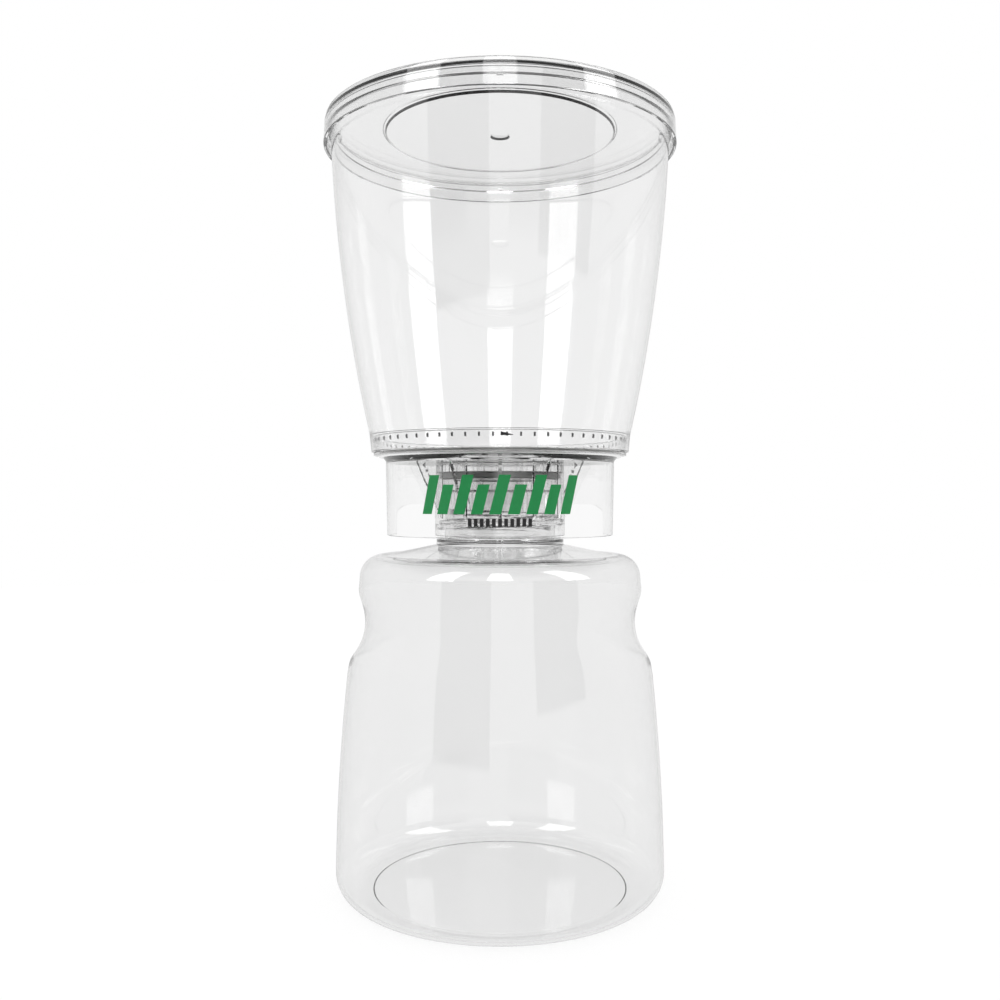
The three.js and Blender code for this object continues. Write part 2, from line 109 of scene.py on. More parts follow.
# filter base
COLLAR_BORE = 22.85
COLLAR_WALL = 0.85
COLLAR_TURNS = 1.25
COLLAR_ROOT = 1.6
COLLAR_TIP = 0.6
THREAD_ENGAGE = 1.6
BOSS_RADIUS = 17.2
BOSS_WALL = 1.6
BOSS_REACH = 3.3
LAND_RISE = 3.3
SPOUT_BORE = 7.2
SPOUT_WALL = 1.4
SPOUT_REACH = 18.0
PLATE = 3.6
PLATE_FALL = 0.6
PLATE_RECESS = 1.7
FLANGE_RADIUS = 46.0
FLANGE = 0.9
SKIRT_RADIUS = 41.1
SKIRT_DRAFT = 0.5
SKIRT_WALL = 0.9
SKIRT_HEIGHT = 26.1
SKIRT_ROOT = 0.8           # how far the skirt runs into the plate
ARCH_TOP = 11.2
ARCH_HALF = 39.5
ARCH_CORNER = 4.5
GUSSETS = 12
GUSSET_THICKNESS = 1.2
GUSSET_REACH = 33.5
GUSSET_DROP = 20.0
GUSSET_TOE = 0.1
RIM_WALL = 1.4
RIM_RADIUS = 46.1
RIM_DRAFT = 0.6
RIM_HEIGHT = 6.1
CRUSH_RIBS = 64
CRUSH_HEIGHT = 0.35
CRUSH_THICKNESS = 0.6
CRUSH_LENGTH = 1.6
CRUSH_STOP = 0.9
CRUSH_ROOT = 0.6
# painted shade: the rib faces are painted near black, standing in for the dark ticks the ribs show
RIB_SHADE_TONE = 0.05
RIB_MARGIN = 0.05
PORT_RISE = 2.35
DUCT_RADIUS = 2.2
PORT_BORE = 1.3
BARB_START = 48.0
BARB_RADIUS = 3.7
BARB_CORE = 2.9
BARB_PITCH = 4.5
BARBS = 3
BARB_LIP = 0.4
PLUG_EDGE = 0.5

# grid and membrane
GRID_EDGE = 0.25
MEMBRANE_EDGE = 0.1
GRID_SLOTS = 24
GRID_SLOT_WIDTH = 1.6
GRID_SLOT_INNER = 11.0
GRID_RIM = 4.0

# funnel
FUNNEL_WALL = 1.0
BAND_WALL = 0.65
FUNNEL_TOP_RADIUS = 61.35
FUNNEL_BELLY = 600.0
RIM_BEAD = 2.7
RIM_BEAD_REACH = 0.85
RIM_BEAD_SLOPE = 0.6

# lid
LID_WALL = 1.3
LID_TOP = 1.3
LID_GAP = 0.4
LID_DRAFT = 0.4
STACK_WIDTH = 1.6
STACK_RISE = 1.0
STACK_SLOPE = 0.4
TOP_CHAMFER = 0.6
PANEL_RADIUS = 42.0
PANEL_DROP = 0.9
PANEL_SLOPE = 1.2
GATE_RADIUS = 3.5
GATE_DEPTH = 0.6
GATE_SLOPE = 0.5
NUBS = 4
NUB_WIDTH = 2.2
NUB_DEPTH = 1.4
NUB_HEIGHT = 3.0
NUB_LEAD_IN = 0.4

# print: distances round the skirt are taken from the front, levels from the skirt's bottom
INK_NEAR = 0.02            # film from 0.02 to 0.07 mm above the plastic
INK_FAR = 0.07
BARS = 9
BAR_PITCH = 6.1
BAR_WIDTH = 3.9
BAR_SHIFT = -1.6
BAR_LOW = 8.05
BAR_HEIGHTS = (13.0, 9.8)
BAR_SLANT = 0.25
DASHES = 11
DASH_PITCH = 2.0
DASH_WIDTH = 1.25
DASH_LOW = 3.95
DASH_HEIGHT = 2.7
MARK_DROP = 1.6            # wedge's middle below the top of the rim
MARK_LEFT = 0.2
MARK_LENGTH = 4.0
MARK_HEIGHT = 1.3
MARK_TIP = 0.15

# studio, in degrees: azimuth (0 is the front, + is right) and height
FLAGS = ((-47.0, -7.0, -6.0), (26.0, 64.0, -1.0))
FLAG_TOP = 22.0
FLAG_LIGHT = 0.02
SOFT_BOXES = ((-62.0, -38.5, 17.0), (-10.8, 10.8, 24.0), (55.0, 79.0, 17.0))
SOFT_BOX_TOP = 62.0
SOFT_BOX_LIGHT = 4.2
WALL_LIGHT = 0.72
BACK_WALL_LIGHT = 0.85
CEILING_LIGHT = 0.05
BACK_WALL_FADE = (75.0, 120.0)
CEILING_FADE = (30.0, 60.0)
BACKDROP_FADE = (34.0, 52.0)
FLOOR_RADIUS = 1500.0
FLOOR_THICKNESS = 4.0
FLOOR_LIGHT = 0.92
CAMERA_LENS = 37.5
CAMERA_PLACE = (0.0, -382.0, 141.1)

# levels and radii that follow
NECK_RIM = level("receiver_bottle", 1)
SHOULDER_TOP = SHOULDER[1] + CORNER
CONE_TOP = SHOULDER_TOP + SHOULDER_RISE
THREAD_MIDDLE = CONE_TOP + THREAD_RISE
LAND = level("neck_gasket", 1) + FIT
PLATE_UNDER = LAND + LAND_RISE
FLANGE_TOP = PLATE_UNDER + PLATE
PLATE_EDGE = FLANGE_TOP - PLATE_RECESS
RIM_TOP = FLANGE_TOP + RIM_HEIGHT
RIM_INNER = RIM_RADIUS - RIM_DRAFT - RIM_WALL
COLLAR_RADIUS = COLLAR_BORE + COLLAR_WALL
COLLAR_BOTTOM = level("filter_base", 0)
SKIRT_BOTTOM = PLATE_UNDER - SKIRT_HEIGHT
SKIRT_TOP_RADIUS = SKIRT_RADIUS + SKIRT_DRAFT
PORT = LAND + PORT_RISE
BARB_END = BARB_START + BARB_PITCH * BARBS
FUNNEL_BOTTOM = level("funnel", 0)
FUNNEL_RIM = level("funnel", 1)
MOUTH_RADIUS = FUNNEL_TOP_RADIUS - FUNNEL_WALL
LID_BOTTOM = level("lid", 0)
LID_UNDER = FUNNEL_RIM + LID_GAP
LID_INNER = FUNNEL_TOP_RADIUS + RIM_BEAD_REACH + LID_GAP
LID_OUTER = LID_INNER + LID_WALL


# ------------------------------------------------------------------ sections
def spaced(start, end, steps):
    return [start + (end - start) * i / steps for i in range(steps + 1)]


def arc(centre_r, centre_z, radius, start, end, steps):
    """Points of an arc in a section, angles in degrees from the radius axis."""
    turns = [math.radians(a) for a in spaced(start, end, steps)]
    return [(centre_r + radius * math.cos(a), centre_z + radius * math.sin(a)) for a in turns]


def bowed_radius(low, high, belly, z):
    """Radius at height z on an arc that bows outward between two points."""
    dr, dz = high[0] - low[0], high[1] - low[1]
    half = math.hypot(dr, dz) / 2
    back = math.sqrt(belly * belly - half * half) / (2 * half)
    centre_r = (low[0] + high[0]) / 2 - dz * back
    centre_z = (low[1] + high[1]) / 2 + dr * back
    return centre_r + np.sqrt(belly * belly - (z - centre_z) ** 2)


def bowed(low, high, belly, inset, steps):
    return [(bowed_radius(low, high, belly, z) - inset, z) for z in spaced(low[1], high[1], steps)]


def eased(points, radius=EDGE, steps=3):
    """The same section with every sharp corner turned into a small arc."""
    result = []
    count = len(points)
    for i, here in enumerate(points):
        p = np.array(here)
        a, b = np.array(points[i - 1]) - p, np.array(points[(i + 1) % count]) - p
        la, lb = np.linalg.norm(a), np.linalg.norm(b)
        a, b = a / la, b / lb
        half = math.acos(max(-1.0, min(1.0, float(a @ b)))) / 2
        if half > math.radians(80) or p[0] < 1e-6:
            result.append(tuple(p))
            continue
        reach = min(radius / math.tan(half), 0.45 * la, 0.45 * lb)
        middle = (a + b) / np.linalg.norm(a + b)
        centre = p + middle * reach / math.cos(half)
        start, end = p + a * reach - centre, p + b * reach - centre
        turn = math.atan2(start[0] * end[1] - start[1] * end[0], float(start @ end))
        for t in spaced(0.0, turn, steps):
            c, s = math.cos(t), math.sin(t)
            result.append((centre[0] + c * start[0] - s * start[1],
                           centre[1] + s * start[0] + c * start[1]))
    return result


# ------------------------------------------------------------------ meshes
def revolve(section, facets=ROUND, shape=None):
    """Vertices (mm) and faces of a closed section turned about Z.

    shape(r, z, angle), if given, returns the radii to use instead of r."""
    angles = np.arange(facets) * 2 * math.pi / facets - math.pi / 2
    vertices, rings = [], []
    for r, z in section:
        if r < 1e-6:
            rings.append([len(vertices)])
            vertices.append((0.0, 0.0, z))
            continue
        radii = np.full(facets, r) if shape is None else shape(r, z, angles)
        rings.append(list(range(len(vertices), len(vertices) + facets)))
        vertices.extend(zip(radii * np.cos(angles), radii * np.sin(angles), [z] * facets))
    faces = []
    for low, high in zip(rings, rings[1:] + rings[:1]):
        if len(low) == 1 and len(high) == 1:
            continue
        for i in range(facets):
            j = (i + 1) % facets
            if len(low) == 1:
                faces.append((low[0], high[j], high[i]))
            elif len(high) == 1:
                faces.append((low[i], low[j], high[0]))
            else:
                faces.append((low[i], low[j], high[j], high[i]))
    return vertices, faces


def plate(outline, thickness, angle):
    """A flat plate of a (radius, height) outline, on a plane through the axis."""
    c, s = math.cos(math.radians(angle)), math.sin(math.radians(angle))
    half = thickness / 2
    vertices = [(r * c - side * s, r * s + side * c, z)
                for side in (-half, half) for r, z in outline]
    n = len(outline)
    faces = [tuple(range(n)), tuple(range(2 * n - 1, n - 1, -1))]
    faces += [(i, i + n, (i + 1) % n + n, (i + 1) % n) for i in range(n)]
    return vertices, faces


def along_y(section, height, facets):
    """A section of (radius, distance from the axis) turned about a line along +Y."""
    vertices, faces = revolve(section, facets)
    return [(x, z, height - y) for x, y, z in vertices], faces


def merged(parts):
    vertices, faces = [], []
    for some_vertices, some_faces in parts:
        first = len(vertices)
        vertices.extend(some_vertices)
        faces.extend(tuple(first + i for i in face) for face in some_faces)
    return vertices, faces


def build(name, shape):
    """A mesh object, in metres, with its faces turned outward."""
    vertices, faces = shape
    mesh = bpy.data.meshes.new(name)
    mesh.from_pydata([(x * METRE, y * METRE, z * METRE) for x, y, z in vertices], [], faces)
    work = bmesh.new()
    work.from_mesh(mesh)
    bmesh.ops.recalc_face_normals(work, faces=work.faces)
    work.to_mesh(mesh)
    work.free()
    piece = bpy.data.objects.new(name, mesh)
    bpy.context.scene.collection.objects.link(piece)
    return piece


def combine(piece, shape, operation):
    """Joins a closed shape to a piece, or cuts it away."""
    tool = build("tool", shape)
    modifier = piece.modifiers.new("combine", "BOOLEAN")
    modifier.object = tool
    modifier.operation = operation
    modifier.solver = "MANIFOLD"
    graph = bpy.context.evaluated_depsgraph_get()
    mesh = bpy.data.meshes.new_from_object(piece.evaluated_get(graph))
    piece.modifiers.clear()
    piece.data = mesh
    bpy.data.objects.remove(tool)
    return piece


def finished(piece, body, nodes, materials):
    """Smooths a piece, except at its sharp edges, and sets what it stands for."""
    piece.data.shade_smooth()
    piece.data.set_sharp_from_angle(angle=math.radians(CRISP))
    even = piece.modifiers.new("even_normals", "WEIGHTED_NORMAL")
    even.keep_sharp = True
    piece.data.materials.clear()
    for material in materials:
        piece.data.materials.append(material)
    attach(piece, body)
    if nodes:
        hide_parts(*nodes)
    return piece


def thread_height(z, angle, root, tip, turns, middle):
    """Height share (0 to 1) of a helical ridge at a level and an array of angles."""
    turn = (angle + math.pi / 2) / (2 * math.pi)
    height = np.zeros_like(turn)
    for k in range(-2, 3):
        t = turn + k
        off = np.abs(z - (middle + THREAD_LEAD * t))
        flank = np.clip((root / 2 - off) / ((root - tip) / 2), 0, 1)
        run_out = np.clip((turns / 2 - np.abs(t)) / THREAD_RUN_OUT, 0, 1)
        height = np.maximum(height, flank * flank * (3 - 2 * flank) * run_out)
    return height


# ------------------------------------------------------------------ materials
class Tree:
    """A node tree with a short way to add nodes."""

    def __init__(self, tree):
        self.tree = tree
        tree.nodes.clear()

    def add(self, kind, inputs=(), **settings):
        node = self.tree.nodes.new(kind)
        for key, value in settings.items():
            setattr(node, key, value)
        for key, value in dict(inputs).items():
            if isinstance(value, bpy.types.NodeSocket):
                self.tree.links.new(value, node.inputs[key])
            else:
                node.inputs[key].default_value = value
        return node

    def calc(self, operation, a, b=0.0):
        return self.add("ShaderNodeMath", {0: a, 1: b}, operation=operation).outputs[0]

    def mix(self, factor, a, b):
        return self.add("ShaderNodeMix", {0: factor, 2: a, 3: b}).outputs[0]

    def blend(self, factor, a, b):
        node = self.add("ShaderNodeMix", {0: factor, 6: a, 7: b}, data_type="RGBA")
        return node.outputs[2]

    def smooth(self, value, low, high, start=0.0, end=1.0):
        """A smooth step from `start` at low to `end` at high."""
        inputs = {0: value, 1: low, 2: high, 3: start, 4: end}
        return self.add("ShaderNodeMapRange", inputs, interpolation_type="SMOOTHSTEP").outputs[0]

    def noise(self, where, scale, detail=3.0, roughness=0.5):
        inputs = {"Vector": where, "Scale": scale, "Detail": detail, "Roughness": roughness}
        return self.add("ShaderNodeTexNoise", inputs).outputs[0]

    def stretched(self, where, scale):
        return self.add("ShaderNodeMapping", {"Vector": where, "Scale": scale}).outputs[0]


def grey(value, alpha=1.0):
    return (value, value, value, alpha)


def painted_rib_shade(tree):
    """1 on the faces of the rim's ribs, which the funnel presses flat, and 0 elsewhere: where
    painted shade goes.
    """
    where = tree.add("ShaderNodeTexCoord").outputs["Object"]
    axes = tree.add("ShaderNodeSeparateXYZ", {0: where}).outputs
    flat = tree.add("ShaderNodeCombineXYZ", {0: axes[0], 1: axes[1]}).outputs[0]
    radius = tree.add("ShaderNodeVectorMath", {0: flat}, operation="LENGTH").outputs["Value"]
    low = RIM_TOP - CRUSH_STOP - CRUSH_LENGTH - RIB_MARGIN
    proud = tree.calc("GREATER_THAN", radius, (RIM_RADIUS - RIB_MARGIN) * METRE)
    above = tree.calc("GREATER_THAN", axes[2], low * METRE)
    below = tree.calc("LESS_THAN", axes[2], (RIM_TOP - CRUSH_STOP + RIB_MARGIN) * METRE)
    return tree.calc("MULTIPLY", proud, tree.calc("MULTIPLY", above, below))


def clear_plastic(name, tint, haze, seed, index=1.57, shade_marks=None):
    """Clear moulded polystyrene: a faint grey tint, slow flow waves, fine handling scratches and
    a trace of haze. The mask function, if given, is 1 where the surface gets painted shade."""
    material = bpy.data.materials.new(name)
    material.use_nodes = True
    tree = Tree(material.node_tree)
    where = tree.add("ShaderNodeTexCoord").outputs["Object"]
    where = tree.add("ShaderNodeVectorMath", {0: where, 1: (seed, 0.37 * seed, 0.0)},
                     operation="ADD").outputs[0]
    flow = tree.noise(tree.stretched(where, (1.0, 1.0, 0.35)), 60.0, 1.0)
    cloud = tree.noise(where, 25.0, 2.0)
    scratch = tree.noise(tree.stretched(where, (1.0, 1.0, 14.0)), 260.0, 3.0, 0.7)
    scratched = tree.smooth(scratch, 0.66, 0.74)
    roughness = tree.mix(cloud, haze * 0.5, haze * 1.5)
    roughness = tree.calc("ADD", roughness, tree.calc("MULTIPLY", scratched, 0.03))
    tone = tree.blend(cloud, grey(tint - 0.01), grey(tint + 0.01))
    bump = tree.add("ShaderNodeBump", {"Strength": 0.25, "Distance": 0.00004, "Height": flow})
    clear = 1.0
    # painted shade on the rim's ribs: near-black colour, rougher and little transmission
    if shade_marks:
        shaded_ribs = shade_marks(tree)
        clear = tree.mix(shaded_ribs, 1.0, 0.1)
        tone = tree.blend(shaded_ribs, tone, grey(RIB_SHADE_TONE))
        roughness = tree.mix(shaded_ribs, roughness, 0.6)
    shader = tree.add("ShaderNodeBsdfPrincipled", {
        "Base Color": tone, "Roughness": roughness, "Normal": bump.outputs[0],
        "IOR": index, "Transmission Weight": clear,
    })
    tree.add("ShaderNodeOutputMaterial", {"Surface": shader.outputs[0]})
    return material


def foam(name, colour):
    """Thin closed-cell gasket foam: fine cells with soft mottling, and light comes through."""
    material = bpy.data.materials.new(name)
    material.use_nodes = True
    tree = Tree(material.node_tree)
    where = tree.add("ShaderNodeTexCoord").outputs["Object"]
    cells = tree.add("ShaderNodeTexVoronoi", {"Vector": where, "Scale": 2600.0}).outputs[0]
    mottle = tree.noise(where, 180.0, 4.0)
    darker = tuple(0.82 * c for c in colour[:3]) + (1.0,)
    tone = tree.blend(tree.mix(cells, mottle, 0.5), colour, darker)
    bump = tree.add("ShaderNodeBump", {"Strength": 0.5, "Distance": 0.00008, "Height": cells})
    front = tree.add("ShaderNodeBsdfPrincipled", {
        "Base Color": tone, "Roughness": tree.mix(mottle, 0.55, 0.75),
        "Normal": bump.outputs[0],
    })
    through = tree.add("ShaderNodeBsdfTranslucent", {"Color": tone})
    shader = tree.add("ShaderNodeMixShader", {0: 0.4, 1: front.outputs[0], 2: through.outputs[0]})
    tree.add("ShaderNodeOutputMaterial", {"Surface": shader.outputs[0]})
    return material


def porous_sheet(name, colour):
    """Cast microporous film: matt and a little translucent, with faint clouding."""
    material = bpy.data.materials.new(name)
    material.use_nodes = True
    tree = Tree(material.node_tree)
    where = tree.add("ShaderNodeTexCoord").outputs["Object"]
    pores = tree.noise(where, 3200.0, 2.0)
    cloud = tree.noise(where, 70.0, 5.0)
    paler = tuple(min(1.0, 1.04 * c) for c in colour[:3]) + (1.0,)
    tone = tree.blend(cloud, colour, paler)
    bump = tree.add("ShaderNodeBump", {"Strength": 0.4, "Distance": 0.00003, "Height": pores})
    front = tree.add("ShaderNodeBsdfPrincipled", {
        "Base Color": tone, "Roughness": tree.mix(pores, 0.8, 0.95),
        "Normal": bump.outputs[0], "Specular IOR Level": 0.3,
    })
    through = tree.add("ShaderNodeBsdfTranslucent", {"Color": tone})
    shader = tree.add("ShaderNodeMixShader", {0: 0.3, 1: front.outputs[0], 2: through.outputs[0]})
    tree.add("ShaderNodeOutputMaterial", {"Surface": shader.outputs[0]})
    return material


def fibres(name, colour):
    """Pressed cotton or polyester wadding."""
    material = bpy.data.materials.new(name)
    material.use_nodes = True
    tree = Tree(material.node_tree)
    where = tree.add("ShaderNodeTexCoord").outputs["Object"]
    strands = tree.noise(tree.stretched(where, (1.0, 0.15, 1.0)), 2400.0, 5.0, 0.7)
    lumps = tree.noise(where, 700.0, 3.0)
    darker = tuple(0.8 * c for c in colour[:3]) + (1.0,)
    tone = tree.blend(strands, darker, colour)
    bump = tree.add("ShaderNodeBump", {
        "Strength": 0.8, "Distance": 0.0002, "Height": tree.calc("ADD", strands, lumps)})
    shader = tree.add("ShaderNodeBsdfPrincipled", {
        "Base Color": tone, "Roughness": tree.mix(lumps, 0.85, 1.0),
        "Normal": bump.outputs[0], "Sheen Weight": 0.3,
    })
    tree.add("ShaderNodeOutputMaterial", {"Surface": shader.outputs[0]})
    return material


def ink(name, colour, worn):
    """Pad-printed ink: slightly uneven film with pinholes of paler tone."""
    material = bpy.data.materials.new(name)
    material.use_nodes = True
    tree = Tree(material.node_tree)
    where = tree.add("ShaderNodeTexCoord").outputs["Object"]
    film = tree.noise(where, 420.0, 5.0, 0.6)
    specks = tree.smooth(tree.noise(where, 2600.0, 2.0), 0.68, 0.76)
    tone = tree.blend(film, colour, tuple(1.12 * c for c in colour[:3]) + (1.0,))
    tone = tree.blend(specks, tone, worn)
    bump = tree.add("ShaderNodeBump", {"Strength": 0.2, "Distance": 0.00002, "Height": film})
    shader = tree.add("ShaderNodeBsdfPrincipled", {
        "Base Color": tone, "Roughness": tree.mix(film, 0.35, 0.5), "Normal": bump.outputs[0],
    })
    tree.add("ShaderNodeOutputMaterial", {"Surface": shader.outputs[0]})
    return material


BOTTLE_PLASTIC = clear_plastic("bottle_plastic", 0.930, 0.015, 1.0)
# the base plastic carries painted shade on the rim's rib faces
BASE_PLASTIC = clear_plastic("base_plastic", 0.975, 0.02, 2.0, 1.5, painted_rib_shade)
GRID_PLASTIC = porous_sheet("grid_plastic", (0.93, 0.93, 0.92, 1.0))
FUNNEL_PLASTIC = clear_plastic("funnel_plastic", 0.955, 0.012, 4.0)
LID_PLASTIC = clear_plastic("lid_plastic", 0.945, 0.012, 5.0)
GASKET_FOAM = foam("gasket_foam", (0.95, 0.95, 0.94, 1.0))
MEMBRANE_FILM = porous_sheet("membrane_film", (0.95, 0.95, 0.94, 1.0))
PLUG_FIBRE = fibres("plug_fibre", (0.90, 0.90, 0.88, 1.0))
GREEN_INK = ink("green_ink", (0.010, 0.335, 0.085, 1.0), (0.10, 0.42, 0.18, 1.0))
BLACK_INK = ink("black_ink", (0.012, 0.012, 0.013, 1.0), (0.10, 0.10, 0.10, 1.0))


# ------------------------------------------------------------------ receiver bottle
def grip_press(z, angle):
    """How far the finger grips press the wall in, at a height and an array of angles."""
    if not FOOT[1] < z < SHOULDER[1] or abs(z - GRIP_HEIGHT) >= GRIP_RADIUS:
        return np.zeros_like(angle)
    wall = bowed_radius(FOOT, SHOULDER, BELLY, GRIP_HEIGHT)
    deepest = wall - GRIP_DEPTH
    sweep = math.cos(math.radians(GRIP_SWEEP))
    back = (wall ** 2 - deepest ** 2) / (2 * (deepest - wall * sweep))
    side = np.abs(np.cos(angle))
    groove = deepest + back + GRIP_RADIUS - math.sqrt(GRIP_RADIUS ** 2 - (z - GRIP_HEIGHT) ** 2)
    reach = np.sqrt(groove ** 2 - back ** 2 * (1 - side ** 2)) - back * side
    return soft_positive(bowed_radius(FOOT, SHOULDER, BELLY, z) - reach, GRIP_BLEND)


def soft_positive(value, blur):
    """max(value, 0) with its kink rounded off."""
    return (value + np.sqrt(value * value + 4 * blur * blur)) / 2 * (value > -20 * blur)


def bottle_shape(r, z, angle):
    if r < BEAD_RADIUS + BOTTLE_WALL:
        if r < NECK_RADIUS - EDGE or z < CONE_TOP + BEAD_HEIGHT:
            return np.full_like(angle, r)
        share = thread_height(z, angle, THREAD_ROOT, THREAD_TIP, THREAD_TURNS, THREAD_MIDDLE)
        return r + (THREAD_CREST - NECK_RADIUS) * share
    return r - grip_press(z, angle)


def bottle_section():
    ring_inner = CONTACT_RADIUS - RING_WIDTH
    shoulder_r = SHOULDER[0] - CORNER
    crease_r = shoulder_r - SHOULDER_FLAT
    inner_corner = CORNER - BOTTLE_WALL
    push_up_r = ring_inner - PUSH_UP_WIDTH
    dome = [(push_up_r * t, PUSH_UP + DOME * (1 - t * t)) for t in spaced(0.0, 1.0, 12)]
    bead_top = CONE_TOP + BEAD_HEIGHT
    lip_low = NECK_RIM - LIP_HEIGHT - LIP_SLOPE
    neck = [
        (crease_r, SHOULDER_TOP),
        (BEAD_RADIUS, CONE_TOP),
        (BEAD_RADIUS, bead_top),
        (NECK_RADIUS, bead_top + BEAD_SLOPE),
        *[(NECK_RADIUS, z)
          for z in spaced(bead_top + 2 * NECK_MARGIN, lip_low - NECK_MARGIN, 64)],
        (NECK_RADIUS, lip_low),
        (LIP_RADIUS, NECK_RIM - LIP_HEIGHT),
        (LIP_RADIUS, NECK_RIM),
        (NECK_BORE, NECK_RIM),
        (NECK_BORE, bead_top - BEAD_WALL),
        (BEAD_RADIUS - BEAD_WALL, bead_top - BEAD_WALL),
        (BEAD_RADIUS - BEAD_WALL, CONE_TOP - BEAD_WALL),
        (crease_r, SHOULDER_TOP - BOTTLE_WALL),
    ]
    wall = bowed(FOOT, SHOULDER, BELLY, 0.0, 80)
    inside = bowed(FOOT, SHOULDER, BELLY, BOTTLE_WALL, 80)
    return eased([
        *dome,
        (ring_inner, 0.0),
        *arc(CONTACT_RADIUS, CORNER, CORNER, -90, 0, 12),
        *wall,
        *arc(shoulder_r, SHOULDER[1], CORNER, 0, 90, 14)[1:],
        *neck,
        *arc(shoulder_r, SHOULDER[1], CORNER - BOTTLE_WALL, 90, 0, 12),
        *inside[::-1][1:],
        *arc(CONTACT_RADIUS, CORNER, inner_corner, 0, -90, 10),
        *[(r, z + BOTTLE_WALL) for r, z in dome[-2::-1]],
    ])


finished(build("bottle_body", revolve(bottle_section(), shape=bottle_shape)), "bottle",
         ["receiver_bottle"], [BOTTLE_PLASTIC])


# ------------------------------------------------------------------ neck gasket
def gasket_section():
    low, high = (level("neck_gasket", end) for end in (0, 1))
    return eased([(GASKET_INNER, low), (GASKET_OUTER, low), (GASKET_OUTER, high),
                  (GASKET_INNER, high)], GASKET_EDGE, 4)


finished(build("foam_gasket", revolve(gasket_section())), "gasket",
         ["neck_gasket"], [GASKET_FOAM])


# ------------------------------------------------------------------ filter base
def core_section():
    spout_radius = SPOUT_BORE + SPOUT_WALL
    spout_tip = PLATE_UNDER - SPOUT_REACH
    boss_tip = LAND - BOSS_REACH
    run = FLANGE_RADIUS - SKIRT_TOP_RADIUS - EDGE
    sweep = [(SKIRT_TOP_RADIUS + run * (1 - math.cos(math.radians(a))),
              PLATE_UNDER + (PLATE - FLANGE) * math.sin(math.radians(a)))
             for a in spaced(12, 90, 9)]
    bore = [(COLLAR_BORE, z)
            for z in spaced(LAND - CUT_MARGIN, COLLAR_BOTTOM + CUT_MARGIN, 72)]
    return eased([
        (SPOUT_BORE, spout_tip),
        (spout_radius, spout_tip),
        (spout_radius, PLATE_UNDER),
        (BOSS_RADIUS - BOSS_WALL, PLATE_UNDER),
        (BOSS_RADIUS - BOSS_WALL, boss_tip),
        (BOSS_RADIUS, boss_tip),
        (BOSS_RADIUS, LAND),
        (COLLAR_BORE, LAND),
        *bore,
        (COLLAR_BORE, COLLAR_BOTTOM),
        (COLLAR_RADIUS, COLLAR_BOTTOM),
        (COLLAR_RADIUS, PLATE_UNDER),
        (SKIRT_TOP_RADIUS - SKIRT_WALL / 2, PLATE_UNDER),
        *sweep,
        (FLANGE_RADIUS, FLANGE_TOP - FLANGE),
        (FLANGE_RADIUS, FLANGE_TOP),
        (RIM_RADIUS - RIM_DRAFT, FLANGE_TOP),
        (RIM_RADIUS, RIM_TOP),
        (RIM_RADIUS - RIM_WALL, RIM_TOP),
        (RIM_INNER, PLATE_EDGE),
        (SPOUT_BORE, PLATE_EDGE - PLATE_FALL),
    ], FINE_EDGE)


def core_shape(r, z, angle):
    if abs(r - COLLAR_BORE) > 0.01:
        return np.full_like(angle, r)
    share = thread_height(z, angle, COLLAR_ROOT, COLLAR_TIP, COLLAR_TURNS,
                          THREAD_MIDDLE - THREAD_ENGAGE)
    return r - (COLLAR_BORE - NECK_RADIUS - 2 * FIT) * share


def skirt_wall():
    top = PLATE_UNDER + SKIRT_ROOT
    section = eased([
        (SKIRT_RADIUS - SKIRT_WALL, SKIRT_BOTTOM),
        (SKIRT_RADIUS, SKIRT_BOTTOM),
        (SKIRT_TOP_RADIUS, PLATE_UNDER),
        (SKIRT_TOP_RADIUS, top),
        (SKIRT_TOP_RADIUS - SKIRT_WALL, top),
    ])
    wall = build("skirt", revolve(section))
    low, high = SKIRT_BOTTOM - ARCH_TOP, SKIRT_BOTTOM + ARCH_TOP
    across = ARCH_HALF - ARCH_CORNER
    outline = [(-ARCH_HALF, low), (ARCH_HALF, low),
               *arc(across, high - ARCH_CORNER, ARCH_CORNER, 0, 90, 10),
               *arc(-across, high - ARCH_CORNER, ARCH_CORNER, 90, 180, 10)]
    n = len(outline)
    block = [(x, y, z) for y in (0.0, 2 * SKIRT_RADIUS) for x, z in outline]
    sides = [(i, (i + 1) % n, (i + 1) % n + n, i + n) for i in range(n)]
    combine(wall, (block, [tuple(range(n)), tuple(range(2 * n - 1, n - 1, -1)), *sides]),
            "DIFFERENCE")
    return wall


def gusset(angle):
    inner = COLLAR_RADIUS - COLLAR_WALL / 2
    return plate([
        (inner, PLATE_UNDER - GUSSET_DROP),
        (COLLAR_RADIUS + GUSSET_TOE, PLATE_UNDER - GUSSET_DROP),
        (GUSSET_REACH, PLATE_UNDER),
        (GUSSET_REACH, PLATE_UNDER + FIT),
        (inner, PLATE_UNDER + FIT),
    ], GUSSET_THICKNESS, angle)


def crush_rib(angle):
    root = RIM_RADIUS - RIM_DRAFT - CRUSH_ROOT
    high = RIM_TOP - CRUSH_STOP
    low = high - CRUSH_LENGTH
    low_face, high_face = (RIM_RADIUS - RIM_DRAFT * (RIM_TOP - z) / RIM_HEIGHT
                           for z in (low, high))
    return plate([
        (root, low),
        (low_face, low),
        (low_face + CRUSH_HEIGHT, low + CRUSH_HEIGHT),
        (high_face + CRUSH_HEIGHT, high - CRUSH_HEIGHT),
        (high_face, high),
        (root, high),
    ], CRUSH_THICKNESS, angle)


def suction_arm():
    section = [(0.0, BOSS_RADIUS), (DUCT_RADIUS, BOSS_RADIUS), (DUCT_RADIUS, BARB_START),
               (BARB_CORE, BARB_START)]
    for i in range(BARBS):
        section.append((BARB_RADIUS, BARB_START + i * BARB_PITCH + BARB_LIP))
        section.append((BARB_CORE, BARB_START + (i + 1) * BARB_PITCH))
    section.append((0.0, BARB_END))
    return along_y(section, PORT, 64)


